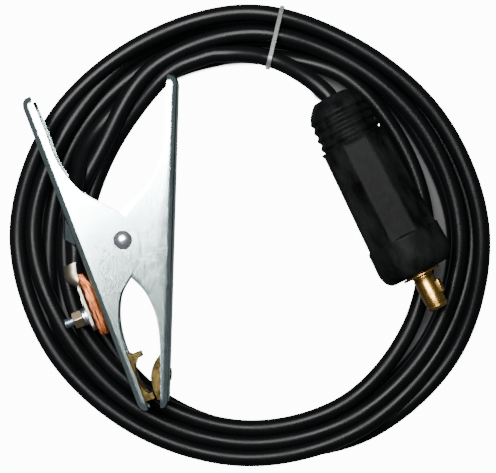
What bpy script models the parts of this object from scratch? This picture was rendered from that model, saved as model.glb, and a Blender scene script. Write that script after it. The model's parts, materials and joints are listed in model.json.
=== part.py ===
"""Welding ground clamp with its coiled cable and bayonet cable plug.

The clamp lies on its side on the coil. +Z is up, the jaws' pivot axis is parallel to Z, and the
noses point towards -Y. The origin is the centre of the clamp's own box. Sizes are in millimetres.
"""
from math import acos, atan2, cos, degrees, exp, hypot, pi, radians, sin, sqrt, tau

import bmesh
import bpy
from mathutils import Matrix, Vector

MM = 0.001
GAP = 0.3                      # play between pieces that touch

# Places of the main pieces
PIVOT = (13.6, 1.3, 0.0)       # the jaws' pivot in the part's frame
FLOOR_Z = -35.2                # the surface that the coil lies on
COIL_CENTRE = (89.3, 4.3)

# Jaws: pressed channels, in a local frame with x towards the nose and v from the web to the pivot
SHEET = 2.0
BEND = 4.0
CABLE_JAW_ANGLE = -68.86       # direction of the nose, degrees from +X
MOVING_JAW_ANGLE = -91.69
CABLE_JAW_REACH = 27.4         # web's outer face to the pivot axis
MOVING_JAW_REACH = 30.1
CABLE_JAW_HALF_WIDTH = 15.0
MOVING_JAW_HALF_WIDTH = CABLE_JAW_HALF_WIDTH - SHEET - 0.5
HANDLE_END = -100.0
NOSE_END = 100.0
CABLE_JAW_EDGE = [(-100, 6.6), (-77, 7.4), (-62, 7.2), (-49.5, 9.2), (-35, 15), (-24.3, 23.7),
                  (-13, 33.2), (0, 36.6), (10.5, 33.9), (20.7, 24.6), (29, 14.8), (38, 9.6),
                  (48, 6.4), (60, 5), (78, 5), (100, 4.8)]
MOVING_JAW_EDGE = [(-100, 6.8), (-77, 7.6), (-62, 7.4), (-49.5, 9.6), (-35, 15.8), (-24.3, 25.2),
                   (-13, 35), (0, 38.6), (11.5, 36), (21.5, 25.5), (30, 16.6), (41, 10.6),
                   (51, 7.8), (62, 6.4), (80, 5.6), (100, 5)]

# Pivot
RIVET_RADIUS = 3.0
RIVET_HEAD_RADIUS = 5.65
RIVET_HEAD_HEIGHT = 2.9
BUSH_OUTER = 4.6
BUSH_HALF_LENGTH = MOVING_JAW_HALF_WIDTH - SHEET - GAP
SPRING_WIRE = 3.0
SPRING_RADIUS = 8.2
SPRING_TURNS = 4
SPRING_HALF_LENGTH = 7.4
SPRING_LEG = 62.0

# Cable and its fixing on the cable jaw
CABLE_RADIUS = 5.25
CORE_RADIUS = 3.7
BOLT_X = 34.5
BOLT_RADIUS = 3.0
BOLT_HOLE = 3.3
STUD_END_V = -24.0
NUT_ACROSS_FLATS = 10.0
STRAP_SHEET = 1.6
STRAP_V = -8.8
SADDLE_V = -7.1
HOOD_PEAK = -12.0
HOOD_END = -33.0
HOOD_HEIGHT = 6.9
HOOD_HALF_WIDTH = 9.6
HOOD_FADE = 8.0
WINDOW_START = -12.9
WINDOW_END = 4.5
WINDOW_HALF_WIDTH = 6.2

# Shoes in the noses
TOOTHED_SHOE_HALF_WIDTH = 9.5
DOMED_SHOE_HALF_WIDTH = 8.8
SHOE_RIVET_X = 80.0

# Cable plug, turned about its own z axis from the boot's rear end to the pin's end
PLUG_START = (137.3, 86.8, 3.9)
PLUG_ANGLE = -62.77
PLUG_TILT = 2.35
SLEEVE_LENGTH = 118.0
PLUG_LENGTH = 142.0
PIN_RADIUS = 6.5
CONTACT_RADIUS = 9.5
CONTACT_START = 58.0
CABLE_IN_PLUG = 40.0

# Coil: radii about its centre at equal steps of angle, from +X anticlockwise
COIL_OUTER = [148, 141.5, 137.5, 141, 140, 142.5, 147, 144.7, 142, 141, 146.4, 150]
COIL_INNER = [102, 100, 101, 105, 106.5, 97, 93.5, 102, 109.5, 115, 113.4, 105]
COIL_HEIGHT = 19.6
TIE_ANGLE = 82.7
TIE_LEAN = -6.0
TIE_WIDTH = 3.3
TIE_THICKNESS = 1.2
TIE_LIFT = 1.7
TIE_PILE = 3.4

# Routes of the cable's free stretches
LEAD_START = [(9, -7.1), (3.5, -5.9), (-4.5, -2.5), (-12.8, 1.7), (-21, 5.2), (-29, 8.6)]
LEAD_START_Z = [0, 0, 0, -0.4, -1.2, -2.2]
LEAD_END = [(-16.4, 37.7, -4.2), (-14.7, 48.7, -7.4), (-11.2, 57.7, -9.7), (-6.7, 65.7, -10)]
TAIL_ROUTE = [(112.1, 105.3, -6.7), (120.1, 102.3, -4.9), (127.1, 97.9, -1.8), (132.1, 92.7, 1.4)]


# ---------------------------------------------------------------- helpers

def catmull(points, steps):
    """Points on a smooth curve through the given ones, steps to each stretch."""
    rows = [Vector(p) for p in points]
    rows = [2 * rows[0] - rows[1]] + rows + [2 * rows[-1] - rows[-2]]
    out = []
    for p0, p1, p2, p3 in zip(rows, rows[1:], rows[2:], rows[3:]):
        for k in range(steps):
            t = k / steps
            out.append(0.5 * (2 * p1 + (p2 - p0) * t + (2 * p0 - 5 * p1 + 4 * p2 - p3) * t ** 2
                              + (3 * p1 - p0 - 3 * p2 + p3) * t ** 3))
    out.append(rows[-2].copy())
    return out


def evenly(points, spacing):
    """The same curve with points at an even spacing."""
    total = sum((b - a).length for a, b in zip(points, points[1:]))
    count = max(2, round(total / spacing))
    out, walked, target = [points[0]], 0.0, total / count
    for a, b in zip(points, points[1:]):
        step = (b - a).length
        while walked + step >= target - 1e-6 and len(out) < count:
            out.append(a.lerp(b, (target - walked) / step))
            target += total / count
        walked += step
    out.append(points[-1])
    return out


def periodic(values, angle):
    """Smooth value at an angle, from values at equal steps round the circle."""
    place = (angle % tau) / tau * len(values)
    k = int(place)
    t = place - k
    p0, p1, p2, p3 = (values[(k + j) % len(values)] for j in (-1, 0, 1, 2))
    return 0.5 * (2 * p1 + (p2 - p0) * t + (2 * p0 - 5 * p1 + 4 * p2 - p3) * t ** 2
                  + (3 * p1 - p0 - 3 * p2 + p3) * t ** 3)


def material(name, colour, roughness, metallic):
    mat = bpy.data.materials.new(name)
    mat.use_nodes = True
    shader = mat.node_tree.nodes["Principled BSDF"]
    shader.inputs["Base Color"].default_value = (*colour, 1)
    shader.inputs["Roughness"].default_value = roughness
    shader.inputs["Metallic"].default_value = metallic
    mat.diffuse_color = (*colour, 1)
    return mat


def zinc(name):
    return material(name, (0.72, 0.74, 0.74), 0.3, 1.0)


def brass(name):
    return material(name, (0.78, 0.6, 0.25), 0.3, 1.0)


def rubber(name):
    return material(name, (0.012, 0.012, 0.013), 0.45, 0.0)


def frame_at(name, place, rotation):
    empty = bpy.data.objects.new(name, None)
    empty.location = [c * MM for c in place]
    empty.rotation_euler = rotation.to_euler()
    PARTS.objects.link(empty)
    return empty


def add(name, data, frame, mat):
    obj = bpy.data.objects.new(name, data)
    PARTS.objects.link(obj)
    obj.parent = frame
    data.materials.append(mat)
    return obj


def add_mesh(name, bm, frame, mat):
    """A named object from a bmesh drawn in millimetres."""
    bmesh.ops.scale(bm, vec=(MM, MM, MM), verts=bm.verts)
    data = bpy.data.meshes.new(name)
    bm.to_mesh(data)
    bm.free()
    data.shade_smooth()
    data.set_sharp_from_angle(angle=radians(32))
    return add(name, data, frame, mat)


def as_cutter(obj):
    PARTS.objects.unlink(obj)
    CUTTERS.objects.link(obj)
    obj.hide_render = True
    obj.display_type = "WIRE"
    return obj


def cut(obj, *cutters):
    for cutter in cutters:
        boolean = obj.modifiers.new(cutter.name, "BOOLEAN")
        boolean.operation = "DIFFERENCE"
        boolean.object = cutter
        boolean.solver = "EXACT"


def prism(name, outline, low, high, frame, mat, bevel=0.0):
    """An outline in x and y, drawn up from low to high along z."""
    bm = bmesh.new()
    face = bm.faces.new([bm.verts.new((x, y, low)) for x, y in outline])
    grown = bmesh.ops.extrude_face_region(bm, geom=[face])["geom"]
    bmesh.ops.translate(bm, vec=(0, 0, high - low),
                        verts=[g for g in grown if isinstance(g, bmesh.types.BMVert)])
    bmesh.ops.recalc_face_normals(bm, faces=bm.faces)
    if bevel:
        rims = [e for e in bm.edges if abs(e.verts[0].co.z - e.verts[1].co.z) < 1e-6]
        bmesh.ops.bevel(bm, geom=rims, offset=bevel, segments=2, profile=0.5, affect="EDGES")
    return add_mesh(name, bm, frame, mat)


def loft(name, sections, frame, mat, closed=False):
    """A skin over closed sections with equal point counts, capped or joined end to end."""
    bm = bmesh.new()
    rings = [[bm.verts.new(p) for p in section] for section in sections]
    pairs = list(zip(rings, rings[1:])) + ([(rings[-1], rings[0])] if closed else [])
    count = len(rings[0])
    for near, far in pairs:
        for k in range(count):
            nxt = (k + 1) % count
            bm.faces.new((near[k], near[nxt], far[nxt], far[k]))
    if not closed:
        bm.faces.new(rings[0])
        bm.faces.new(rings[-1])
    bmesh.ops.recalc_face_normals(bm, faces=bm.faces)
    return add_mesh(name, bm, frame, mat)


def turned(name, profile, frame, mat, place=(0, 0, 0), tip=None, segments=24):
    """A closed profile of (radius, height) turned about z, then tipped and placed."""
    data = bpy.data.meshes.new(name)
    points = [(r * MM, 0, h * MM) for r, h in profile]
    on_axis = profile[0][0] == 0 and profile[-1][0] == 0
    last = len(points) - 1
    edges = [(k, k + 1) for k in range(last)] + ([] if on_axis else [(last, 0)])
    data.from_pydata(points, edges, [])
    obj = add(name, data, frame, mat)
    obj.location = [c * MM for c in place]
    if tip is not None:
        obj.rotation_euler = tip
    screw = obj.modifiers.new("turn", "SCREW")
    screw.angle = tau
    screw.steps = segments
    screw.render_steps = segments
    screw.use_merge_vertices = True
    screw.merge_threshold = 1e-5
    return obj


def tube(name, points, radius, frame, mat, resolution=3):
    data = bpy.data.curves.new(name, "CURVE")
    data.dimensions = "3D"
    data.bevel_depth = radius * MM
    data.bevel_resolution = resolution
    data.use_fill_caps = True
    spline = data.splines.new("POLY")
    spline.points.add(len(points) - 1)
    for point, place in zip(spline.points, points):
        point.co = (*(c * MM for c in place), 1)
    return add(name, data, frame, mat)


def cylinder_cutter(name, radius, low, high, frame, place=(0, 0, 0), tip=None, segments=24):
    """A closed cylinder along z from low to high, kept with the cutters."""
    bm = bmesh.new()
    bmesh.ops.create_cone(bm, cap_ends=True, segments=segments, radius1=radius, radius2=radius,
                          depth=high - low, matrix=Matrix.Translation((0, 0, (low + high) / 2)))
    obj = add_mesh(name, bm, frame, BLANK)
    obj.location = [c * MM for c in place]
    if tip is not None:
        obj.rotation_euler = tip
    return as_cutter(obj)


def box_cutter(name, low, high, frame, corner=0.0):
    """A closed box; corner rounds its edges along y."""
    bm = bmesh.new()
    size = [b - a for a, b in zip(low, high)]
    centre = [(a + b) / 2 for a, b in zip(low, high)]
    bmesh.ops.create_cube(bm, size=1.0)
    bmesh.ops.scale(bm, vec=size, verts=bm.verts)
    bmesh.ops.translate(bm, vec=centre, verts=bm.verts)
    if corner:
        upright = [e for e in bm.edges if abs(e.verts[0].co.y - e.verts[1].co.y) > size[1] / 2]
        bmesh.ops.bevel(bm, geom=upright, offset=corner, segments=4, profile=0.5, affect="EDGES")
    return as_cutter(add_mesh(name, bm, frame, BLANK))


# ---------------------------------------------------------------- jaws

class Jaw:
    """One pressed channel: its frame, and its flange depth along its length."""

    def __init__(self, name, side, angle, reach, half_width, edge):
        self.side = side
        self.reach = reach
        self.half_width = half_width
        self.angle = radians(angle)
        self.curve = catmull([(x, v, 0) for x, v in edge], 6)
        self.frame = frame_at(name, PIVOT, Matrix.Rotation(self.angle, 3, "Z"))

    def y(self, v):
        """Local y of a height v above the web's outer face."""
        return self.side * (v - self.reach)

    def edge_at(self, x):
        for a, b in zip(self.curve, self.curve[1:]):
            if a.x <= x <= b.x:
                return a.y + (b.y - a.y) * (x - a.x) / (b.x - a.x)
        return self.curve[-1].y

    def world(self, x, v, z):
        """A point in the part's frame, in millimetres."""
        flat = Matrix.Rotation(self.angle, 3, "Z") @ Vector((x, self.y(v), z))
        return flat + Vector(PIVOT)


def end_curl(x, radius):
    """How far the sheet has turned in at x, near either rounded end."""
    depth = max(HANDLE_END + radius - x, x - (NOSE_END - radius), 0.0)
    return radius - sqrt(max(radius ** 2 - depth ** 2, 0.0))


def hood_height(x, z):
    """The lanced hood over the cable's window, pressed outwards from the web."""
    if x <= HOOD_END or abs(z) >= HOOD_HALF_WIDTH:
        return 0.0
    along = (x - HOOD_END) / (HOOD_PEAK - HOOD_END)
    if x > HOOD_PEAK:
        along = max(1.0 - (x - HOOD_PEAK) / HOOD_FADE, 0.0)
    return HOOD_HEIGHT * along * cos(pi / 2 * z / HOOD_HALF_WIDTH) ** 0.8


def channel_profile(jaw, x, web_points, hood):
    """The channel's outer skin at x as (v, z), from one flange's edge round to the other's."""
    lift = 0.55 * end_curl(x, 6.4)
    half = jaw.half_width - 0.7 * end_curl(x, 6.4)
    edge = jaw.edge_at(x)
    bend = min(BEND, edge - lift - 0.5)
    arc = [(lift + bend - bend * sin(t), half - bend + bend * cos(t))
           for t in (pi / 2 * k / 3 for k in range(4))]
    flat = half - bend
    web = [(lift, flat * (1 - 2 * k / (web_points + 1))) for k in range(1, web_points + 1)]
    if hood:
        web = [(v - hood_height(x, z), z) for v, z in web]
    left = [(edge, half)] + arc
    return left + web + [(v, -z) for v, z in reversed(left)]


def jaw_stations():
    ends = [0, 0.6, 2.2, 5.2]
    inner = [-90, -77, -64, -56, -49, -42, -36, -30, -24, -18, -12, -8, -3, 2, 7, 12, 17, 22, 27,
             32, 38, 46, 54, 64, 77, 90]
    return [HANDLE_END + e for e in ends] + inner + [NOSE_END - e for e in reversed(ends)]


def channel(name, jaw, web_points, hood):
    bm = bmesh.new()
    rows = []
    for x in jaw_stations():
        rows.append([bm.verts.new((x, jaw.y(v), z))
                     for v, z in channel_profile(jaw, x, web_points, hood)])
    for near, far in zip(rows, rows[1:]):
        for k in range(len(near) - 1):
            face = (near[k], near[k + 1], far[k + 1], far[k])
            bm.faces.new(face if jaw.side > 0 else face[::-1])
    bmesh.ops.triangulate(bm, faces=bm.faces)
    obj = add_mesh(name, bm, jaw.frame, zinc(name))
    shell = obj.modifiers.new("sheet", "SOLIDIFY")
    shell.thickness = SHEET * MM
    shell.offset = -1
    shell.use_even_offset = True
    return obj


def web_hole(name, jaw, x, radius):
    """A cutter through the web, along the local y axis."""
    return cylinder_cutter(name, radius, -6, 6, jaw.frame, (x, jaw.y(1), 0), (pi / 2, 0, 0))


def make_jaws():
    cable = Jaw("cable_jaw_frame", 1, CABLE_JAW_ANGLE, CABLE_JAW_REACH, CABLE_JAW_HALF_WIDTH,
                CABLE_JAW_EDGE)
    moving = Jaw("moving_jaw_frame", -1, MOVING_JAW_ANGLE, MOVING_JAW_REACH, MOVING_JAW_HALF_WIDTH,
                 MOVING_JAW_EDGE)
    pivot_hole = cylinder_cutter("pivot_hole_cutter", RIVET_RADIUS + GAP, -25, 25, cable.frame)
    fixed = channel("cable_jaw", cable, 11, True)
    window = box_cutter("cable_window_cutter", (WINDOW_START, cable.y(-12), -WINDOW_HALF_WIDTH),
                        (WINDOW_END, cable.y(4), WINDOW_HALF_WIDTH), cable.frame, 3.0)
    cut(fixed, pivot_hole, window, web_hole("bolt_hole_cutter", cable, BOLT_X, BOLT_HOLE),
        web_hole("toothed_rivet_hole_cutter", cable, SHOE_RIVET_X, 2.5))
    swing = channel("moving_jaw", moving, 3, False)
    cut(swing, pivot_hole, web_hole("domed_rivet_hole_cutter", moving, SHOE_RIVET_X, 2.5))
    return cable, moving


# ---------------------------------------------------------------- pivot

def make_pivot(cable, moving):
    half = CABLE_JAW_HALF_WIDTH + GAP
    dome = [(RIVET_HEAD_RADIUS * cos(t), half + RIVET_HEAD_HEIGHT * sin(t))
            for t in (pi / 2 * k / 6 for k in range(6))]
    upper = [(0, half + RIVET_HEAD_HEIGHT)] + dome[::-1] + [(RIVET_RADIUS, half)]
    turned("pivot_rivet", upper + [(r, -h) for r, h in reversed(upper)], cable.frame,
           zinc("pivot_rivet"))
    turned("pivot_bush", [(BUSH_OUTER, BUSH_HALF_LENGTH), (BUSH_OUTER, -BUSH_HALF_LENGTH),
                          (RIVET_RADIUS + GAP, -BUSH_HALF_LENGTH),
                          (RIVET_RADIUS + GAP, BUSH_HALF_LENGTH)],
           cable.frame, zinc("pivot_bush"))
    make_spring(cable, moving)


def tangent_angle(point, turn):
    """Angle of the spring's coil where a straight leg from the point touches it."""
    return atan2(point.y, point.x) + turn * acos(SPRING_RADIUS / hypot(point.x, point.y))


def make_spring(cable, moving):
    """A torsion spring round the bush, with a leg along the inside of each web."""
    pivot = Vector(PIVOT)
    inside = SHEET + SPRING_WIRE / 2 + GAP
    first_leg = cable.world(-SPRING_LEG, inside, SPRING_HALF_LENGTH) - pivot
    last_leg = moving.world(-SPRING_LEG, inside, -SPRING_HALF_LENGTH) - pivot
    start = tangent_angle(first_leg, 1)
    stop = tangent_angle(last_leg, -1)
    wound = (stop - start) % tau + tau * SPRING_TURNS
    count = round(wound / tau * 16)
    points = [first_leg, first_leg.lerp(Vector((SPRING_RADIUS * cos(start), SPRING_RADIUS
                                                * sin(start), SPRING_HALF_LENGTH)), 0.5)]
    for k in range(count + 1):
        angle = start + wound * k / count
        height = SPRING_HALF_LENGTH * (1 - 2 * k / count)
        points.append(Vector((SPRING_RADIUS * cos(angle), SPRING_RADIUS * sin(angle), height)))
    points += [points[-1].lerp(last_leg, 0.5), last_leg]
    spring = tube("torsion_spring", points, SPRING_WIRE / 2, None,
                  material("torsion_spring", (0.35, 0.35, 0.36), 0.35, 1.0), 2)
    spring.location = [c * MM for c in PIVOT]


# ---------------------------------------------------------------- shoes

def make_toothed_shoe(jaw):
    """A zinc-yellow bracket with two cross teeth, riveted inside the cable jaw's nose."""
    rise = [(91.1, 8.2), (88, 6.6), (84.5, 5.6), (80, 5.2), (75.5, 5.6), (72, 7.2), (69, 9.8)]
    side = [(63.5, 2.35), (94.9, 2.35), (94.9, 10.9), (91.1, 10.9)] + rise \
        + [(69, 12.6), (65.8, 12.6), (65.8, 6.8), (63.5, 4.6)]
    shoe = prism("toothed_shoe", [(x, jaw.y(v)) for x, v in side], -TOOTHED_SHOE_HALF_WIDTH,
                 TOOTHED_SHOE_HALF_WIDTH, jaw.frame, brass("toothed_shoe"))
    inner = TOOTHED_SHOE_HALF_WIDTH - 1.5
    pocket = box_cutter("shoe_pocket_cutter", (70.4, jaw.y(3.9), -inner), (89.8, jaw.y(20), inner),
                        jaw.frame)
    cut(shoe, pocket, bpy.data.objects["toothed_rivet_hole_cutter"])
    shoe_rivet("toothed_shoe_rivet", jaw, 4.2, 5.6)


def make_domed_shoe(jaw):
    """A crowned contact pad, riveted inside the moving jaw's nose."""
    crown = catmull([(65.5, 4.4), (72, 9.2), (80.5, 11.4), (88.7, 10), (95.3, 7.2)], 4)
    side = [(65.5, 2.35), (95.3, 2.35)] + [(p.x, p.y) for p in reversed(crown)]
    shoe = prism("domed_shoe", [(x, jaw.y(v)) for x, v in side], -DOMED_SHOE_HALF_WIDTH,
                 DOMED_SHOE_HALF_WIDTH, jaw.frame, brass("domed_shoe"), 0.6)
    cut(shoe, cylinder_cutter("domed_shoe_socket_cutter", 2.5, -2.2, 2.2, jaw.frame,
                              (SHOE_RIVET_X, jaw.y(4.2), 0), (pi / 2, 0, 0)))
    shoe_rivet("domed_shoe_rivet", jaw, 6.0, 6.0)


def shoe_rivet(name, jaw, neck, top):
    """A rivet through the web: a low head outside, and a second head where top is above neck."""
    inner = [(0, top), (3.4, top), (3.4, neck), (2.2, neck)] if top > neck else [(0, top), (2.2, top)]
    outer = [(2.2, -GAP), (3.9, -GAP), (3.6, -1.1), (2.4, -1.7), (0, -1.8)]
    turned(name, [(r, v - jaw.reach) for r, v in inner + outer], jaw.frame, brass(name),
           (SHOE_RIVET_X, 0, 0), (-jaw.side * pi / 2, 0, 0), 24)


# ---------------------------------------------------------------- cable fixing

def hexagon(across_flats):
    radius = across_flats / 2 / cos(pi / 6)
    return [(radius * cos(pi / 3 * k), radius * sin(pi / 3 * k)) for k in range(6)]


def bolt_piece(name, jaw, outline, low, high, mat):
    """A prism about the bolt's axis, from height low to high above the web's outer face."""
    obj = prism(name, outline, low, high, jaw.frame, mat)
    obj.location = [c * MM for c in (BOLT_X, jaw.y(0), 0)]
    obj.rotation_euler = (-pi / 2, 0, 0)
    return obj


def ring_profile(inner, outer, low, high):
    return [(outer, high), (outer, low), (inner, low), (inner, high)]


def make_fixing(jaw):
    place = (BOLT_X, jaw.y(0), 0)
    tip = (-pi / 2, 0, 0)
    head = SHEET + GAP
    bolt = turned("lug_bolt", [(0, head), (BOLT_RADIUS, head), (BOLT_RADIUS, STUD_END_V + 0.8),
                               (BOLT_RADIUS - 0.8, STUD_END_V), (0, STUD_END_V)],
                  jaw.frame, zinc("lug_bolt"), place, tip, 24)
    hex_head = bolt_piece("bolt_head_shape", jaw, hexagon(NUT_ACROSS_FLATS), head, head + 4,
                          BLANK)
    join = bolt.modifiers.new("head", "BOOLEAN")
    join.operation = "UNION"
    join.object = as_cutter(hex_head)
    join.solver = "EXACT"
    turned("plain_washer", ring_profile(BOLT_HOLE, 6.3, -10.5, -9.1), jaw.frame,
           zinc("plain_washer"), place, tip)
    turned("spring_washer", ring_profile(BOLT_HOLE, 5.2, -12.3, -10.8), jaw.frame,
           zinc("spring_washer"), place, tip)
    nut = bolt_piece("lug_nut", jaw, hexagon(NUT_ACROSS_FLATS), -18.4, -12.6, zinc("lug_nut"))
    cut(nut, cylinder_cutter("nut_bore_cutter", BOLT_HOLE, -30, 0, jaw.frame, place, tip))
    bolt_hole = cylinder_cutter("strap_hole_cutter", BOLT_HOLE, -20, -0.1, jaw.frame, place, tip)
    make_conductor(jaw, bolt_hole)
    make_strap(jaw, bolt_hole)


def make_conductor(jaw, bolt_hole):
    """The stripped copper strands, round in the saddle and pressed flat under the strap."""
    stations = [(10.8, -6.7, 3.7, 3.8), (12, -6.4, 3.7, 4.2), (14, -5.3, 3.5, 4.8),
                (16.5, -4.2, 3.2, 5.8), (20, -3.6, 2.9, 7.0), (27, -3.6, 2.9, 7.8),
                (42, -3.6, 2.9, 7.8), (46, -3.6, 2.8, 7.4), (48, -3.6, 2.2, 6.6)]
    sections = []
    for x, v, high, wide in stations:
        power = 1.0 if x < 15 else 0.62
        ring = []
        for k in range(20):
            t = tau * k / 20
            ring.append((x, jaw.y(v + high * abs(sin(t)) ** power * (1 if sin(t) >= 0 else -1)),
                         wide * abs(cos(t)) ** power * (1 if cos(t) >= 0 else -1)))
        sections.append(ring)
    core = loft("conductor_end", sections, jaw.frame,
                material("conductor_end", (0.8, 0.38, 0.2), 0.35, 1.0))
    cut(core, bolt_hole)


def make_strap(jaw, bolt_hole):
    """The pressed strap: a saddle over the cable that runs into a flat tongue under the nut."""
    bm = bmesh.new()
    rows = []
    saddle = CABLE_RADIUS + 0.5 + STRAP_SHEET
    for x in [2, 5, 8, 10.5, 12, 13.5, 15, 16.5, 18, 20, 24, 30, 36, 41, 43.5, 44.5]:
        blend = min(max((x - 9.5) / 9.5, 0.0), 1.0)
        blend = blend * blend * (3 - 2 * blend)
        centre = SADDLE_V + 0.3 * max(8 - x, 0)
        half = 9.0 - end_round(x)
        row = []
        for k in range(13):
            t = -1 + 2 * k / 12
            arch = Vector((centre - saddle * cos(t * radians(100)), saddle * sin(t * radians(100))))
            flat = Vector((STRAP_V, half * t))
            point = arch.lerp(flat, blend)
            row.append(bm.verts.new((x, jaw.y(point.x), point.y)))
        rows.append(row)
    for near, far in zip(rows, rows[1:]):
        for k in range(12):
            bm.faces.new((near[k], far[k], far[k + 1], near[k + 1]))
    strap = add_mesh("cable_bracket", bm, jaw.frame, material("cable_bracket", (0.7, 0.66, 0.56),
                                                              0.35, 1.0))
    shell = strap.modifiers.new("sheet", "SOLIDIFY")
    shell.thickness = STRAP_SHEET * MM
    shell.offset = -1
    shell.use_even_offset = True
    cut(strap, bolt_hole)


def end_round(x):
    """How much narrower the strap's tongue is at x, for its rounded end."""
    depth = max(x - 40.5, 0.0)
    return 4.2 - sqrt(max(4.2 ** 2 - depth ** 2, 0.0))


# ---------------------------------------------------------------- cable

def coil_section(angle):
    """The coil's outline at an angle, as points (radius, height)."""
    outer = periodic(COIL_OUTER, angle)
    inner = periodic(COIL_INNER, angle)
    apart = degrees(angle) - TIE_ANGLE
    near_tie = exp(-(apart / 7) ** 2)
    low = FLOOR_Z + TIE_LIFT * near_tie
    high = FLOOR_Z + COIL_HEIGHT + TIE_PILE * exp(-(apart / 16) ** 2)
    soft = 4.0
    return [(inner, low + soft), (inner + soft, low), (outer - soft, low), (outer, low + soft),
            (outer, high - soft), (outer - soft, high), (inner + soft, high), (inner, high - soft)]


def coil_point(radius, height, angle):
    return Vector((COIL_CENTRE[0] + radius * cos(angle), COIL_CENTRE[1] + radius * sin(angle),
                   height))


def make_coil():
    steps = 64
    sections = []
    for k in range(steps):
        angle = radians(TIE_ANGLE) + tau * (k + 0.5) / steps
        angle = angle % tau
        sections.append([coil_point(r, h, angle) for r, h in coil_section(angle)])
    loft("cable_coil", sections, None, rubber("cable_coil"), closed=True)


def make_tie():
    """A thin nylon band round the coil, one closed loop."""
    angle = radians(TIE_ANGLE)
    centre = coil_point((periodic(COIL_OUTER, angle) + periodic(COIL_INNER, angle)) / 2, 0, angle)
    across = angle + radians(TIE_LEAN)
    out = Vector((cos(across), sin(across), 0))
    along = Vector((-sin(across), cos(across), 0))
    high = FLOOR_Z + COIL_HEIGHT + TIE_PILE + GAP + 0.2
    low = FLOOR_Z + TIE_THICKNESS + 0.1
    half = (periodic(COIL_OUTER, angle) - periodic(COIL_INNER, angle)) / 2 + 1.6
    corner = 4.0
    path = []
    for cx, cz, turn in ((1, 1, 0), (-1, 1, 1), (-1, -1, 2), (1, -1, 3)):
        for k in range(4):
            t = pi / 2 * (turn + k / 3)
            mid_z = high - corner if cz > 0 else low + corner
            path.append((cx * (half - corner), mid_z, cos(t), sin(t)))
    sections = []
    for x, z, nx, nz in path:
        ring = []
        for side, lift in ((-1, 0), (1, 0), (1, 1), (-1, 1)):
            reach = corner + lift * TIE_THICKNESS
            place = centre + out * (x + nx * reach) + along * (side * TIE_WIDTH / 2)
            ring.append((place.x, place.y, z + nz * reach))
        sections.append(ring)
    loft("coil_tie", sections, None, material("coil_tie", (0.8, 0.82, 0.82), 0.35, 0.0),
         closed=True)


def make_free_cable(jaw, plug):
    start = [jaw.world(x, v, z) for (x, v), z in zip(LEAD_START, LEAD_START_Z)]
    lead = start + [Vector(p) for p in LEAD_END]
    tube("cable_lead", evenly(catmull(lead, 12), 2.2 * CABLE_RADIUS), CABLE_RADIUS, None,
         rubber("cable_lead"))
    inside = [plug @ Vector((0, 0, h)) for h in (0, 12, 26, CABLE_IN_PLUG)]
    tail = [Vector(p) for p in TAIL_ROUTE] + inside
    tube("cable_tail", evenly(catmull(tail, 12), 2.0 * CABLE_RADIUS), CABLE_RADIUS, None,
         rubber("cable_tail"))


# ---------------------------------------------------------------- plug

def sleeve_radius(h):
    """Round size of the rubber sleeve at a height h."""
    if h < 10:
        return 11 + 6.6 * sin(pi / 2 * h / 10)
    if h < 29:
        return 17.6 + 0.06 * (h - 10) + 0.75 * cos(tau * (h - 10) / 4.7)
    if h < 108:
        return 20.6 + 2.8 * (h - 29) / 79
    return 23.4 - 6.4 * (1 - sqrt(max(1 - ((h - 108) / 10) ** 2, 0.0)))


def sleeve_section(h, flats):
    """The sleeve's outline: a round, or an octagon with rounded corners and a flat on top."""
    radius = sleeve_radius(h)
    ring = []
    for k in range(24):
        t = tau * (k + 0.5) / 24
        off = (t + pi / 8) % (pi / 4) - pi / 8
        size = min(radius, radius * 0.935 / cos(off)) if flats else radius
        ring.append((size * cos(t), size * sin(t), h))
    return ring


def make_plug():
    down = radians(PLUG_ANGLE)
    tilt = radians(PLUG_TILT)
    axis = Vector((cos(down) * cos(tilt), sin(down) * cos(tilt), sin(tilt)))
    up = (Vector((0, 0, 1)) - axis * axis.z).normalized()
    turn = Matrix((up.cross(axis), up, axis)).transposed()
    frame = frame_at("plug_frame", PLUG_START, turn)
    boot = [0, 3, 7] + [10 + 4.7 / 2 * k for k in range(9)]
    sections = [sleeve_section(h, False) for h in boot]
    sections += [sleeve_section(h, True) for h in (31, 50, 70, 94)]
    sections += [sleeve_section(h, False) for h in (94.6, 108, 113, 116.4, SLEEVE_LENGTH)]
    sleeve = loft("plug_sleeve", sections, frame, rubber("plug_sleeve"))
    wide = CONTACT_RADIUS + GAP
    narrow = CABLE_RADIUS + GAP + 0.1
    bore = turned("sleeve_bore_cutter", [(0, 125), (wide, 125), (wide, CONTACT_START - GAP),
                                         (7.0, CONTACT_START - GAP), (7.0, CABLE_IN_PLUG + 2),
                                         (narrow, CABLE_IN_PLUG), (narrow, -5), (0, -5)],
                  frame, BLANK)
    pin_hole = cylinder_cutter("locking_hole_cutter", 1.8, -40, 40, frame, (0, 6.0, 104),
                               (0, pi / 2, 0))
    cut(sleeve, as_cutter(bore), pin_hole)
    make_contact(frame, pin_hole)
    return Matrix.Translation(Vector(PLUG_START)) @ turn.to_4x4()


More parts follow.
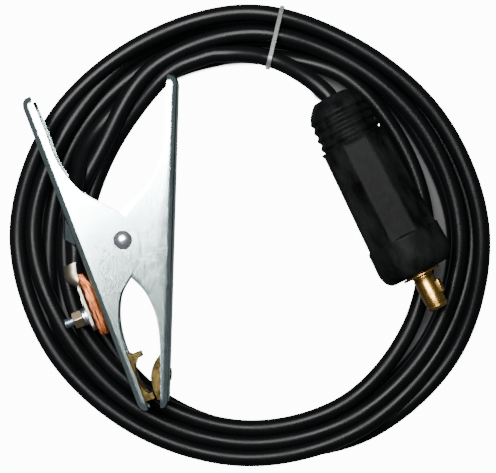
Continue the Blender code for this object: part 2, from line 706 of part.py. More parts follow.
def make_contact(frame, pin_hole):
    """The brass contact: a barrel in the sleeve, a flange and the bayonet pin with its lug."""
    depth = 86.0
    socket = 5.6
    flange = 11.6
    profile = [(0, PLUG_LENGTH), (PIN_RADIUS - 1.2, PLUG_LENGTH), (PIN_RADIUS, PLUG_LENGTH - 1.2),
               (PIN_RADIUS, SLEEVE_LENGTH + 2), (flange, SLEEVE_LENGTH + 1.8),
               (flange, SLEEVE_LENGTH + GAP), (CONTACT_RADIUS, SLEEVE_LENGTH + GAP),
               (CONTACT_RADIUS, CONTACT_START), (socket, CONTACT_START), (socket, depth), (0, depth)]
    contact = turned("plug_pin", profile, frame, brass("plug_pin"))
    lug = box_cutter("bayonet_lug_shape", (3.0, -2.4, 126), (8.4, 2.4, 134), frame)
    lug.rotation_euler = (0, 0, radians(25))
    join = contact.modifiers.new("lug", "BOOLEAN")
    join.operation = "UNION"
    join.object = lug
    join.solver = "EXACT"
    screws = []
    for number, height in ((1, 68.0), (2, 78.0)):
        tip = (-pi / 2, 0, 0)
        screws.append(cylinder_cutter(f"set_screw_hole_cutter_{number}", 2.6, 4.5, 12, frame,
                                      (0, 0, height), tip))
        screw = turned(f"plug_set_screw_{number}", [(0, 9.2), (2.3, 9.2), (2.3, 6.1), (1.6, 5.5),
                                                    (0, 5.5)],
                       frame, material(f"plug_set_screw_{number}", (0.2, 0.2, 0.21), 0.4, 1.0),
                       (0, 0, height), tip, 20)
    cut(contact, *screws, pin_hole)
    turned("plug_ferrule", ring_profile(4.1, 5.1, CONTACT_START + 3, depth - 2), frame,
           material("plug_ferrule", (0.75, 0.4, 0.25), 0.35, 1.0))
    turned("plug_strands", [(0, depth - 1), (CORE_RADIUS, depth - 1),
                            (CORE_RADIUS, CABLE_IN_PLUG + GAP), (0, CABLE_IN_PLUG + GAP)], frame,
           material("plug_strands", (0.8, 0.4, 0.22), 0.35, 1.0), segments=20)
    turned("plug_locking_pin", [(0, 17), (1.5, 17), (1.5, -17), (0, -17)], frame,
           material("plug_locking_pin", (0.4, 0.4, 0.4), 0.35, 1.0), (0, 6.0, 104), (0, pi / 2, 0), 16)


# ---------------------------------------------------------------- assembly

for old in list(bpy.data.objects):
    bpy.data.objects.remove(old, do_unlink=True)

PARTS = bpy.data.collections.new("ground_clamp")
CUTTERS = bpy.data.collections.new("cutters")
for group in (PARTS, CUTTERS):
    bpy.context.scene.collection.children.link(group)
BLANK = bpy.data.materials.new("cutter")


def main():
    cable_jaw, moving_jaw = make_jaws()
    make_pivot(cable_jaw, moving_jaw)
    make_toothed_shoe(cable_jaw)
    make_domed_shoe(moving_jaw)
    make_fixing(cable_jaw)
    plug = make_plug()
    make_coil()
    make_tie()
    make_free_cable(cable_jaw, plug)


main()
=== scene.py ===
"""Looks of the welding ground clamp: camera, light, cable, fine surfaces and materials.

Positions are in the part's frame. Lengths are in millimetres until MM makes them metres.
"""
import json
from math import acos, atan2, cos, degrees, exp, hypot, pi, radians, sin, sqrt, tau
from random import Random

import bmesh
import bpy
from mathutils import Matrix, Vector


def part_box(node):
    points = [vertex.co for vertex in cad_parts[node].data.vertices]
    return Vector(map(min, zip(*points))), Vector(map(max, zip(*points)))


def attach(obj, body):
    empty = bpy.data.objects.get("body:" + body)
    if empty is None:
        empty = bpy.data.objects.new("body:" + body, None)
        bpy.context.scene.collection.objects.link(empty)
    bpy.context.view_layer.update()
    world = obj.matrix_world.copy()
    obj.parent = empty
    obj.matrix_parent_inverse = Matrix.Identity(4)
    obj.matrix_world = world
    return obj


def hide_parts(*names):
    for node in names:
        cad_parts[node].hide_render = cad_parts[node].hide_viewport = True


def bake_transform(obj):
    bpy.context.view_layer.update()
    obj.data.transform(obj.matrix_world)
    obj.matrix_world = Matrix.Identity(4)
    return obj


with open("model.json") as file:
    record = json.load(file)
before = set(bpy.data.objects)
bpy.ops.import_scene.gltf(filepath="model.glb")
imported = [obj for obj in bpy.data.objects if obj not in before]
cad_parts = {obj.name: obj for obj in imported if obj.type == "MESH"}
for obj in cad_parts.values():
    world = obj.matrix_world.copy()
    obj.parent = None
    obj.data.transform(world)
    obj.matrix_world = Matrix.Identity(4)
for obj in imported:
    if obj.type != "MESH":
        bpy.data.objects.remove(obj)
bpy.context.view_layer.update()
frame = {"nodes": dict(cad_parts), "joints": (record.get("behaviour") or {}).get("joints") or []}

MM = 0.001
ROOT = "root"
SWING = "moving_jaw_body"
CABLE_NODES = ("cable_lead", "cable_coil", "cable_tail")

# Camera, floor and light, in metres and watts. The shade on the floor is a ring under the coil,
# with a few round patches for gaps between the turns, or beside the plug's boot, outside the ring.
CAMERA_PLACE = (0.0881, 0.0034, 1.2)
CAMERA_LENS = 144.6
SHADE_CENTRE = (0.0893, -0.0017, 0)
SHADE_EDGES = ((0.1105, 0.113), (0.137, 0.135))
SHADE_PATCHES = ((0.1405, 0.1005, 0), (0.153, 0.072, 0), (-0.036, -0.033, 0))
PATCH_EDGE = (0.016, 0.0145)
PAPER_GLOW = 13.0
SHADE_GLOW = 0.035
WORLD_GLOW = 0.25
FLOOR_HALF = 3.0
FLOOR_DROP = 0.0002
KEY_POWER = 56
FILL_POWER = 0.4
PANEL_SIZE = (1.0, 0.95)

# The clamp, to the CAD part's driving sizes. Along a jaw x runs from the handle to the nose, and
# v runs from the web's outer face to the pivot's side.
PIVOT = Vector(frame["joints"][0]["pos_m"]) / MM
SHEET = 2.0
BEND = 4.0
GAP = 0.3
HANDLE_END = -100.0
NOSE_END = 100.0
END_RADIUS = 6.4
JAW_BEVEL = 0.3
PIVOT_HOLE = 3.3
BOLT_HOLE = 3.3
RIVET_HOLE = 2.5
BOLT_X = 34.5
BOLT_RADIUS = 3.0
THREAD_PITCH = 1.0
THREAD_DEPTH = 0.55
STUD_END_V = -24.0
HEAD_HEIGHT = 4.0
NUT_ACROSS_FLATS = 10.0
NUT_SPAN = (12.6, 18.4)
PLAIN_WASHER_SPAN = (9.1, 10.5)
SPRING_WASHER_START = 10.9
STRAP_SHEET = 1.6
STRAP_HALF_WIDTH = 9.0
STRAP_ROUND_START = 40.5
STRAP_ROUND = 4.2
STRAP_V = -8.8
SADDLE_V = -7.1
STRAND_RADIUS = 0.42
STRAND_START = 7.5
STRAND_END = 47.5
STRAND_POINTS = 24
HOOD_PEAK = -12.0
HOOD_END = -33.0
HOOD_HEIGHT = 6.9
HOOD_HALF_WIDTH = 9.6
HOOD_FADE = 8.0
WINDOW = (-12.9, 4.5, 6.2)                  # start, end and half width
SHOE_RIVET_X = 80.0
SPRING_WIRE = 3.0
SPRING_RADIUS = 8.2
SPRING_TURNS = 4
SPRING_HALF_LENGTH = 7.4
SPRING_LEG = 62.0
PIVOT_DOME = 7.37
PIVOT_DOME_RISE = 2.9

# The cable's coil and its tie. The turns lie below COIL_TOP, and are pushed up a little at the tie.
FLOOR_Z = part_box("cable_coil")[0][2] / MM
CABLE_RADIUS = 5.25
COIL_CENTRE = Vector((89.3, 4.3, 0))
COIL_TOP = -12.0
TIE_ANGLE = 82.7
TIE_LEAN = -6.0
TIE_RADIUS = 123
TIE_REACH = 30
TIE_WIDTH = 2.7
TIE_THICKNESS = 1.1
TIE_LIFT = 1.5
TIE_LIFT_ANGLE = 9
TIE_STEPS = 72

# The plug, by heights along its axis from the cable's end
PLUG_START = Vector((137.3, 86.8, 3.9))
PLUG_ANGLE = -62.77
PLUG_TILT = 2.35
PLUG_LENGTH = 142.0
BOOT_ROUND = 10
RIB_END = 29
RIB_PITCH = 5.3
RIB_DEPTH = 0.65
COLLAR_ROUND = 108
SLEEVE_LENGTH = 118.0
SLEEVE_SIDES = 128
FACET = 0.935
PIN_RADIUS = 6.5


# ---------------------------------------------------------------- camera, floor and light

def make_camera():
    data = bpy.data.cameras.new("camera")
    camera = bpy.data.objects.new("camera", data)
    camera.location = CAMERA_PLACE
    data.sensor_width = 36.0
    data.lens = CAMERA_LENS
    data.clip_start = 0.05
    bpy.context.scene.collection.objects.link(camera)
    bpy.context.scene.camera = camera


def panel(name, place, target, power, spread):
    """A soft rectangular light that faces its target; spread is the angle it shines over."""
    data = bpy.data.lights.new(name, "AREA")
    data.shape = "RECTANGLE"
    data.size, data.size_y = PANEL_SIZE
    data.energy = power
    data.spread = radians(spread)
    light = bpy.data.objects.new(name, data)
    light.location = place
    light.rotation_euler = (Vector(target) - Vector(place)).to_track_quat("-Z", "Y").to_euler()
    bpy.context.scene.collection.objects.link(light)


def floor_paper():
    """Lit white paper, in deep shade where it lies between the coil's turns."""
    look = Surface("floor_paper", Base_Color=(0.02, 0.02, 0.02, 1), Roughness=0.9,
                   Emission_Color=(1, 1, 1, 1))
    place = look.node("ShaderNodeTexCoord").outputs["Object"]
    away = look.distance(place, SHADE_CENTRE)
    inner, outer = (look.node("ShaderNodeMapRange", {"Value": away, "From Min": low, "From Max": high},
                              interpolation_type="SMOOTHSTEP").outputs["Result"]
                    for low, high in SHADE_EDGES)
    shade = look.maths("MULTIPLY", inner, outer)
    for centre in SHADE_PATCHES:
        patch = look.spread(look.distance(place, centre), *PATCH_EDGE)
        shade = look.maths("MAXIMUM", shade, patch)
    look.drive("Emission Strength", look.spread(shade, 0.0, 1.0, PAPER_GLOW, SHADE_GLOW))
    return look.mat


def make_stage():
    bm = bmesh.new()
    bmesh.ops.create_grid(bm, x_segments=1, y_segments=1, size=FLOOR_HALF)
    data = bpy.data.meshes.new("floor")
    bm.to_mesh(data)
    bm.free()
    floor = bpy.data.objects.new("floor", data)
    floor.location = (0, 0, FLOOR_Z * MM - FLOOR_DROP)
    bpy.context.scene.collection.objects.link(floor)
    data.materials.append(floor_paper())
    floor.visible_glossy = False
    floor.visible_diffuse = False
    world = bpy.data.worlds.new("studio")
    world.use_nodes = True
    background = world.node_tree.nodes["Background"]
    background.inputs["Color"].default_value = (0.9, 0.95, 1.0, 1)
    background.inputs["Strength"].default_value = WORLD_GLOW
    bpy.context.scene.world = world
    panel("key", (-0.25, 0.5, 1.35), (-0.2, 0.4, 0), KEY_POWER, spread=92)
    panel("fill", (-0.2, -0.5, 1.4), (-0.15, -0.4, 0), FILL_POWER, spread=120)


# ---------------------------------------------------------------- curves and mesh helpers

def catmull(points, steps):
    """Points on a smooth curve through the given ones, steps to each stretch."""
    rows = [Vector(p) for p in points]
    rows = [2 * rows[0] - rows[1]] + rows + [2 * rows[-1] - rows[-2]]
    out = []
    for p0, p1, p2, p3 in zip(rows, rows[1:], rows[2:], rows[3:]):
        for k in range(steps):
            t = k / steps
            out.append(0.5 * (2 * p1 + (p2 - p0) * t + (2 * p0 - 5 * p1 + 4 * p2 - p3) * t ** 2
                              + (3 * p1 - p0 - 3 * p2 + p3) * t ** 3))
    out.append(rows[-2].copy())
    return out


def evenly(points, spacing):
    """The same curve with points at an even spacing."""
    total = sum((b - a).length for a, b in zip(points, points[1:]))
    count = max(2, round(total / spacing))
    out, walked, target = [points[0]], 0.0, total / count
    for a, b in zip(points, points[1:]):
        step = (b - a).length
        while walked + step >= target - 1e-6 and len(out) < count:
            out.append(a.lerp(b, (target - walked) / step))
            target += total / count
        walked += step
    out.append(points[-1])
    return out


def smooth_step(low, high, value):
    """0 below low, 1 above high, and an easy slope between them."""
    t = min(max((value - low) / (high - low), 0.0), 1.0)
    return t * t * (3 - 2 * t)


def finish_piece(obj, mat, body, nodes=()):
    """Gives a new piece its material and body, and hides the CAD nodes that it stands for."""
    obj.data.materials.clear()
    obj.data.materials.append(mat)
    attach(obj, body)
    if nodes:
        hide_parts(*nodes)
    return obj


def mesh_object(name, bm, matrix=None, sharp=35):
    """An object from a bmesh in millimetres; its own coordinates stay on it as an attribute."""
    grain = bm.verts.layers.float_vector.get("grain") or bm.verts.layers.float_vector.new("grain")
    for vert in bm.verts:
        vert[grain] = vert.co
    bmesh.ops.transform(bm, matrix=Matrix.Scale(MM, 4) @ (matrix or Matrix.Identity(4)),
                        verts=bm.verts)
    data = bpy.data.meshes.new(name)
    bm.to_mesh(data)
    bm.free()
    data.shade_smooth()
    data.set_sharp_from_angle(angle=radians(sharp))
    obj = bpy.data.objects.new(name, data)
    bpy.context.scene.collection.objects.link(obj)
    return obj


def skin(rings, wrap=True, loop=False):
    """A bmesh over rows of points with equal counts.

    wrap joins each row's ends, and loop joins the last row to the first.
    """
    bm = bmesh.new()
    rows = [[bm.verts.new(p) for p in ring] for ring in rings]
    count = len(rows[0])
    pairs = list(zip(rows, rows[1:])) + ([(rows[-1], rows[0])] if loop else [])
    for near, far in pairs:
        for k in range(count if wrap else count - 1):
            nxt = (k + 1) % count
            bm.faces.new((near[k], near[nxt], far[nxt], far[k]))
    if wrap and not loop:
        bm.faces.new(rows[0][::-1])
        bm.faces.new(rows[-1])
    if wrap:
        bmesh.ops.recalc_face_normals(bm, faces=bm.faces)
    return bm


def turned(profile, segments):
    """A bmesh of a profile of (radius, height), turned about z; it closes on itself or on the axis."""
    bm = bmesh.new()
    on_axis = profile[0][0] == 0
    rows = []
    for radius, height in profile:
        if radius == 0:
            rows.append([bm.verts.new((0, 0, height))])
        else:
            rows.append([bm.verts.new((radius * cos(tau * k / segments),
                                       radius * sin(tau * k / segments), height))
                         for k in range(segments)])
    pairs = list(zip(rows, rows[1:])) + ([] if on_axis else [(rows[-1], rows[0])])
    for near, far in pairs:
        for k in range(segments):
            nxt = (k + 1) % segments
            corners = [near[k % len(near)], near[nxt % len(near)], far[nxt % len(far)],
                       far[k % len(far)]]
            bm.faces.new(list(dict.fromkeys(corners)))
    bmesh.ops.recalc_face_normals(bm, faces=bm.faces)
    return bm


def tube_mesh(name, points, radius, sides):
    """A round wire along points, as a mesh with capped ends."""
    rings = []
    normal = None
    for k, point in enumerate(points):
        ahead = points[min(k + 1, len(points) - 1)] - points[max(k - 1, 0)]
        ahead.normalize()
        if normal is None:
            normal = ahead.orthogonal().normalized()
        normal = (normal - ahead * normal.dot(ahead)).normalized()
        side = ahead.cross(normal)
        rings.append([point + radius * (normal * cos(tau * j / sides) + side * sin(tau * j / sides))
                      for j in range(sides)])
    return mesh_object(name, skin(rings))


def add_spline(curve, points):
    """Adds one open spline of straight steps through points in millimetres."""
    spline = curve.splines.new("POLY")
    spline.points.add(len(points) - 1)
    for point, place in zip(spline.points, points):
        point.co = (*(c * MM for c in place), 1)


def thicken(obj, thickness):
    """Gives a skin the thickness of its sheet, inwards."""
    shell = obj.modifiers.new("sheet", "SOLIDIFY")
    shell.thickness = thickness * MM
    shell.offset = -1
    shell.use_even_offset = True


def round_edges(obj, width, angle):
    """Rounds the edges that are sharper than angle, in degrees."""
    rounding = obj.modifiers.new("edges", "BEVEL")
    rounding.width = width * MM
    rounding.segments = 2
    rounding.limit_method = "ANGLE"
    rounding.angle_limit = radians(angle)


def carve(obj, cutters, bevel):
    """Cuts the cutters out of obj for good, and rounds its edges."""
    for cutter in cutters:
        boolean = obj.modifiers.new("cut", "BOOLEAN")
        boolean.operation = "DIFFERENCE"
        boolean.object = cutter
        boolean.solver = "EXACT"
    round_edges(obj, bevel, 40)
    bpy.context.view_layer.update()
    data = bpy.data.meshes.new_from_object(obj.evaluated_get(bpy.context.evaluated_depsgraph_get()))
    obj.modifiers.clear()
    obj.data = data
    data.shade_smooth()
    data.set_sharp_from_angle(angle=radians(35))
    for cutter in cutters:
        bpy.data.objects.remove(cutter)


def box_bmesh(low, high):
    bm = bmesh.new()
    bmesh.ops.create_cube(bm, size=1.0)
    bmesh.ops.scale(bm, vec=[b - a for a, b in zip(low, high)], verts=bm.verts)
    bmesh.ops.translate(bm, vec=[(a + b) / 2 for a, b in zip(low, high)], verts=bm.verts)
    return bm


# ---------------------------------------------------------------- materials

class Surface:
    """A Principled material and short ways to add nodes to it."""

    def __init__(self, name, **sockets):
        self.mat = bpy.data.materials.new(name)
        self.mat.use_nodes = True
        self.tree = self.mat.node_tree
        self.shader = self.tree.nodes["Principled BSDF"]
        for key, value in sockets.items():
            self.shader.inputs[key.replace("_", " ")].default_value = value
        self.bumps = None

    def node(self, kind, inputs=None, **settings):
        """A new node; its inputs are linked to sockets, or set to values."""
        made = self.tree.nodes.new(kind)
        for key, value in settings.items():
            setattr(made, key, value)
        for key, value in (inputs or {}).items():
            if isinstance(value, bpy.types.NodeSocket):
                self.tree.links.new(value, made.inputs[key])
            else:
                made.inputs[key].default_value = value
        return made

    def stretch(self, vector, scale):
        return self.node("ShaderNodeVectorMath", {0: vector, 1: scale},
                         operation="MULTIPLY").outputs["Vector"]

    def grain(self, scale):
        """Coordinates in millimetres in the piece's own axes, stretched by scale."""
        place = self.node("ShaderNodeAttribute", attribute_name="grain")
        return self.stretch(place.outputs["Vector"], scale)

    def space(self, scale):
        """Coordinates in millimetres in the object's space, stretched by scale."""
        place = self.node("ShaderNodeTexCoord")
        return self.stretch(place.outputs["Object"], [s / MM for s in scale])

    def distance(self, vector, centre):
        return self.node("ShaderNodeVectorMath", {0: vector, 1: centre},
                         operation="DISTANCE").outputs["Value"]

    def noise(self, vector, detail=3.0, rough=0.55):
        made = self.node("ShaderNodeTexNoise", {"Vector": vector, "Scale": 1.0, "Detail": detail,
                                                "Roughness": rough})
        return made.outputs["Fac"]

    def spread(self, value, low, high, to_low=0.0, to_high=1.0):
        """Maps low to high onto to_low to to_high, and holds the ends."""
        made = self.node("ShaderNodeMapRange", {"Value": value, "From Min": low, "From Max": high,
                                                "To Min": to_low, "To Max": to_high})
        return made.outputs["Result"]

    def maths(self, operation, a, b):
        return self.node("ShaderNodeMath", {0: a, 1: b}, operation=operation).outputs["Value"]

    def blend_colours(self, factor, low, high):
        """A colour from low, at factor 0, to high, at 1; each may be a socket."""
        mix = self.node("ShaderNodeMix", data_type="RGBA")
        self.tree.links.new(factor, mix.inputs["Factor"])
        for socket, value in (("A", low), ("B", high)):
            target = next(s for s in mix.inputs if s.name == socket and s.type == "RGBA")
            if isinstance(value, bpy.types.NodeSocket):
                self.tree.links.new(value, target)
            else:
                target.default_value = (*value, 1)
        return next(s for s in mix.outputs if s.type == "RGBA")

    def drive(self, socket, value):
        self.tree.links.new(value, self.shader.inputs[socket])

    def bump(self, height, depth):
        """Adds relief of a depth in millimetres under what is there already."""
        made = self.node("ShaderNodeBump", {"Height": height, "Distance": depth * MM, "Strength": 1.0})
        if self.bumps is not None:
            self.tree.links.new(self.bumps, made.inputs["Normal"])
        self.bumps = made.outputs["Normal"]
        self.drive("Normal", self.bumps)


def zinc_sheet(name):
    """Bright zinc plate on rolled sheet: brushed along its length, lightly clouded and scratched."""
    look = Surface(name, Metallic=1.0)
    clouds = look.noise(look.grain((0.05, 0.05, 0.05)), 4.0)
    brushed = look.noise(look.grain((0.3, 2.6, 2.6)), 3.0, 0.7)
    speck = look.noise(look.grain((1.6, 1.6, 1.6)), 5.0, 0.75)
    mottle = look.maths("ADD", look.maths("MULTIPLY", brushed, 0.5), look.maths("MULTIPLY", speck, 0.5))
    scratch = look.noise(look.grain((0.09, 1.9, 1.9)), 2.0, 0.9)
    line = look.spread(scratch, 0.66, 0.74)
    base = look.blend_colours(look.spread(clouds, 0.3, 0.7), (0.14, 0.19, 0.185), (0.31, 0.39, 0.38))
    base = look.blend_colours(look.spread(mottle, 0.4, 0.62), base, (0.42, 0.51, 0.5))
    base = look.blend_colours(look.maths("MULTIPLY", line, 0.5), base, (0.18, 0.21, 0.21))
    look.drive("Base Color", base)
    look.drive("Roughness", look.spread(mottle, 0.35, 0.65, 0.09, 0.17))
    look.bump(brushed, 0.02)
    look.bump(line, -0.015)
    return look.mat


def bright_steel(name, colour, roughness):
    """Steel, plain or zinc plated, faintly dulled in patches."""
    look = Surface(name, Metallic=1.0)
    patches = look.noise(look.space((0.6, 0.6, 0.6)), 4.0)
    dark = tuple(c * 0.72 for c in colour)
    look.drive("Base Color", look.blend_colours(look.spread(patches, 0.3, 0.7), dark, colour))
    look.drive("Roughness", look.spread(patches, 0.3, 0.7, roughness + 0.14, roughness))
    fine = look.noise(look.space((4, 4, 4)), 3.0)
    look.bump(fine, 0.01)
    return look.mat


def yellow_zinc(name, sparkle=0.0):
    """Yellow passivated zinc, darkened: olive gold with warmer clouds, and a cast grain."""
    look = Surface(name, Metallic=1.0)
    clouds = look.noise(look.space((0.22, 0.22, 0.22)), 4.0)
    drift = look.noise(look.space((0.5, 0.5, 0.5)), 3.0)
    base = look.blend_colours(look.spread(clouds, 0.35, 0.65), (0.01, 0.008, 0.0028),
                              (0.04, 0.028, 0.0088))
    base = look.blend_colours(look.spread(drift, 0.5, 0.75, 0.0, 0.4), base, (0.04, 0.026, 0.0148))
    look.drive("Base Color", base)
    look.drive("Roughness", look.spread(drift, 0.3, 0.7, 0.26, 0.45))
    grain = look.noise(look.space((2.2, 2.2, 2.2)), 4.0, 0.7)
    look.bump(grain, 0.03 + 0.16 * sparkle)
    return look.mat


def machined_brass(name):
    """Turned brass, with fine tool rings and slight tarnish."""
    look = Surface(name, Metallic=1.0)
    rings = look.noise(look.grain((0.05, 0.05, 6.0)), 2.0)
    tarnish = look.noise(look.grain((0.3, 0.3, 0.3)), 4.0)
    base = look.blend_colours(look.spread(tarnish, 0.35, 0.7), (0.31, 0.19, 0.045), (0.18, 0.1, 0.025))
    look.drive("Base Color", base)
    look.drive("Roughness", look.spread(tarnish, 0.3, 0.7, 0.16, 0.34))
    look.bump(rings, 0.012)
    return look.mat


def copper_strand(name, dark=False):
    """Bare copper, dulled in patches; the dark one is painted shade, for copper deep among other
    strands.
    """
    # The dark colour is painted shade, not a colour that the copper has.
    colour = (0.07, 0.014, 0.008) if dark else (0.34, 0.1, 0.036)
    look = Surface(name, Metallic=1.0)
    patches = look.noise(look.space((0.5, 0.5, 0.5)), 4.0)
    look.drive("Base Color", look.blend_colours(look.spread(patches, 0.35, 0.7), colour,
                                                tuple(c * 0.5 for c in colour)))
    look.drive("Roughness", look.spread(patches, 0.3, 0.7, 0.25, 0.45))
    return look.mat


def cable_rubber(name):
    """Smooth extruded cable sheath: black, satin, unevenly glossy, with faint dust."""
    look = Surface(name, Specular_IOR_Level=0.055)
    soft = look.noise(look.space((0.05, 0.05, 0.05)), 3.0)
    dust = look.noise(look.space((0.9, 0.9, 0.9)), 5.0, 0.7)
    look.drive("Base Color", look.blend_colours(look.spread(dust, 0.64, 0.82, 0.0, 0.5),
                                                (0.001, 0.0011, 0.0012), (0.006, 0.006, 0.0065)))
    look.drive("Roughness", look.spread(soft, 0.3, 0.7, 0.25, 0.37))
    look.bump(look.noise(look.space((0.5, 0.5, 0.5)), 2.0), 0.03)
    return look.mat


def moulded_rubber(name):
    """Moulded rubber of the plug: black, finely grained, slightly greyed in soft patches."""
    look = Surface(name, Specular_IOR_Level=0.013)
    wear = look.noise(look.grain((0.12, 0.12, 0.06)), 4.0)
    look.drive("Base Color", look.blend_colours(look.spread(wear, 0.35, 0.7), (0.0008, 0.0008, 0.0009),
                                                (0.004, 0.0043, 0.0043)))
    look.drive("Roughness", look.spread(wear, 0.3, 0.7, 0.3, 0.46))
    look.bump(look.noise(look.grain((1.8, 1.8, 1.8)), 4.0, 0.7), 0.06)
    look.bump(look.noise(look.grain((0.2, 0.2, 0.2)), 2.0), 0.12)
    return look.mat


def clear_nylon(name):
    """Thin milky nylon that shows the black cable through it."""
    look = Surface(name, Base_Color=(0.1, 0.105, 0.105, 1), Specular_IOR_Level=0.22,
                   Transmission_Weight=0.72, IOR=1.53)
    clouds = look.noise(look.space((0.8, 0.8, 0.8)), 3.0)
    look.drive("Roughness", look.spread(clouds, 0.3, 0.7, 0.25, 0.42))
    look.bump(clouds, 0.03)
    return look.mat


# ---------------------------------------------------------------- cable

# The coil's five turns as (radius, layer) at each 30 degrees, from 90 degrees clockwise. Layer 0
# lies on the floor and layer 1 in the grooves above it.
TURNS = [
    [(111, 0), (113.3, 0.5), (108.4, 0.6), (108.7, 0.8), (113.3, 0.9), (118.4, 1), (118.6, 1),
     (117, 1), (117, 1), (113, 1), (105, 1.1), (118.5, 1.2)],
    [(123.5, 1.1), (121.9, 1.09), (124.5, 1.05), (128.5, 1.08), (128.5, 1.05), (128.6, 1),
     (127.7, 1), (127, 1), (127.5, 1), (133, 0.85), (129.5, 0.9), (131.5, 0.05)],
    [(132.5, 0), (132, 0), (131.5, 0), (137.1, 0), (136.3, 0.4), (136.6, 1), (136.5, 1.1),
     (136.5, 1), (140, 0.85), (142.8, 0.5), (139, 0.9), (134.9, 1.05)],
    [(136, 1.1), (132.2, 1.09), (136.2, 1), (142, 1), (144.8, 0.3), (141.3, 0), (132, 0),
     (130, 0), (131.6, 0), (123.5, 0), (122.5, 0), (121.8, 0)],
    [(121, 0), (121.9, 0), (121, 0), (126.6, 0), (127.8, 0), (124.5, 0), (121, 0), (115, 0),
     (108, 0), (102.5, 0), (101, 0), (109.8, 0.9)],
]
LAYER_RISE = 9.6
LEAD = [(-15.33, -19.54, 0), (-16.4, -14.3, 0), (-16.0, -6.0, 0), (-17.0, 3.2, -0.4),
        (-17.9, 12.4, -1.5), (-17.7, 21.0, -3.6), (-17.2, 29.6, -6.8), (-16.2, 37.7, -10.9),
        (-14.3, 48.4, -17.4), (-10.8, 58.4, -23.6), (-5.0, 68.2, -27.9), (3.2, 78.2, -29.8),
        (14.6, 88.4, -29.95), (28.4, 98.2, -29.95), (45, 107, -29.95), (66, 113, -29.95)]
TAIL = [(60.3, 113.0, -19.6), (75, 115.2, -18.9), (89.5, 114.4, -15.7), (101.5, 111.3, -11.6),
        (112.3, 106.6, -6.3), (121.6, 100.6, -1.5), (129.9, 94.2, 1.9)]


def coil_route():
    """The route of the coil's turns, at each 30 degrees, clockwise seen from above."""
    route = []
    step = 0
    for turn in TURNS:
        for radius, layer in turn:
            angle = radians(90 - 30 * step)
            height = FLOOR_Z + CABLE_RADIUS + LAYER_RISE * layer
            route.append(COIL_CENTRE + Vector((radius * cos(angle), radius * sin(angle), height)))
            step += 1
    return route


def plug_matrix():
    """The plug's frame: z along its axis from the cable to the pin, y up."""
    down, tilt = radians(PLUG_ANGLE), radians(PLUG_TILT)
    axis = Vector((cos(down) * cos(tilt), sin(down) * cos(tilt), sin(tilt)))
    up = (Vector((0, 0, 1)) - axis * axis.z).normalized()
    turn = Matrix((up.cross(axis), up, axis)).transposed()
    return Matrix.Translation(PLUG_START) @ turn.to_4x4()


def make_cable():
    """The whole cable in one curve, from the strap to the plug; gives the route's points too."""
    plug = plug_matrix()
    inside = [plug @ Vector((0, 0, h)) for h in (0, 12, 26, 38)]
    waypoints = [Vector(p) for p in LEAD] + coil_route() + [Vector(p) for p in TAIL] + inside
    route = evenly(catmull(waypoints, 12), 5.0)
    for point in route:
        away = point - COIL_CENTRE
        apart = degrees(atan2(away.y, away.x)) - TIE_ANGLE
        on_coil = 1 - smooth_step(COIL_TOP, COIL_TOP + 4, point.z)
        lift = TIE_LIFT * exp(-(apart / TIE_LIFT_ANGLE) ** 2) * on_coil
        point.z = max(point.z, FLOOR_Z + CABLE_RADIUS) + lift
    data = bpy.data.curves.new("welding_cable", "CURVE")
    data.dimensions = "3D"
    data.bevel_depth = CABLE_RADIUS * MM
    data.bevel_resolution = 6
    data.use_fill_caps = True
    add_spline(data, route)
    cable = bpy.data.objects.new("welding_cable", data)
    bpy.context.scene.collection.objects.link(cable)
    finish_piece(cable, cable_rubber("cable_sheath"), ROOT, CABLE_NODES)
    return cable, route


# ---------------------------------------------------------------- jaws

class Jaw:
    """One pressed channel: x towards the nose, v from the web's outer face to the pivot's side."""

    def __init__(self, side, angle, reach, half_width, edge):
        self.side = side
        self.reach = reach
        self.half_width = half_width
        self.curve = catmull([(x, v, 0) for x, v in edge], 12)
        self.matrix = Matrix.Translation(PIVOT) @ Matrix.Rotation(radians(angle), 4, "Z")

    def y(self, v):
        return self.side * (v - self.reach)

    def edge_at(self, x):
        for a, b in zip(self.curve, self.curve[1:]):
            if a.x <= x <= b.x:
                return a.y + (b.y - a.y) * (x - a.x) / (b.x - a.x)
        return self.curve[-1].y

    def world(self, x, v, z):
        return self.matrix @ Vector((x, self.y(v), z))

    def across(self, x, v=0.0):
        """A frame at x whose z axis points out of the jaw's web."""
        tip = Matrix.Rotation(self.side * pi / 2, 4, "X")
        return self.matrix @ Matrix.Translation((x, self.y(v), 0)) @ tip


CABLE_JAW = Jaw(1, -68.86, 27.4, 15.0,
                [(-100, 6.6), (-77, 7.4), (-62, 7.2), (-49.5, 9.2), (-35, 15), (-24.3, 23.7),
                 (-13, 33.2), (0, 36.6), (10.5, 33.9), (20.7, 24.6), (29, 14.8), (38, 9.6),
                 (48, 6.4), (60, 5), (78, 5), (100, 4.8)])
MOVING_JAW = Jaw(-1, -91.69, 30.1, 12.5,
                 [(-100, 6.8), (-77, 7.6), (-62, 7.4), (-49.5, 9.6), (-35, 15.8), (-24.3, 25.2),
                  (-13, 35), (0, 38.6), (11.5, 36), (21.5, 25.5), (30, 16.6), (41, 10.6),
                  (51, 7.8), (62, 6.4), (80, 5.6), (100, 5)])


def end_curl(x):
    """How far the sheet has turned in at x, near either rounded end."""
    depth = max(HANDLE_END + END_RADIUS - x, x - (NOSE_END - END_RADIUS), 0.0)
    return END_RADIUS - sqrt(max(END_RADIUS ** 2 - depth ** 2, 0.0))


def hood_height(x, z):
    """The lanced hood over the cable's window, pressed outwards from the web."""
    if x <= HOOD_END or abs(z) >= HOOD_HALF_WIDTH:
        return 0.0
    along = (x - HOOD_END) / (HOOD_PEAK - HOOD_END)
    if x > HOOD_PEAK:
        along = max(1.0 - (x - HOOD_PEAK) / HOOD_FADE, 0.0)
    return HOOD_HEIGHT * along * cos(pi / 2 * z / HOOD_HALF_WIDTH) ** 0.8


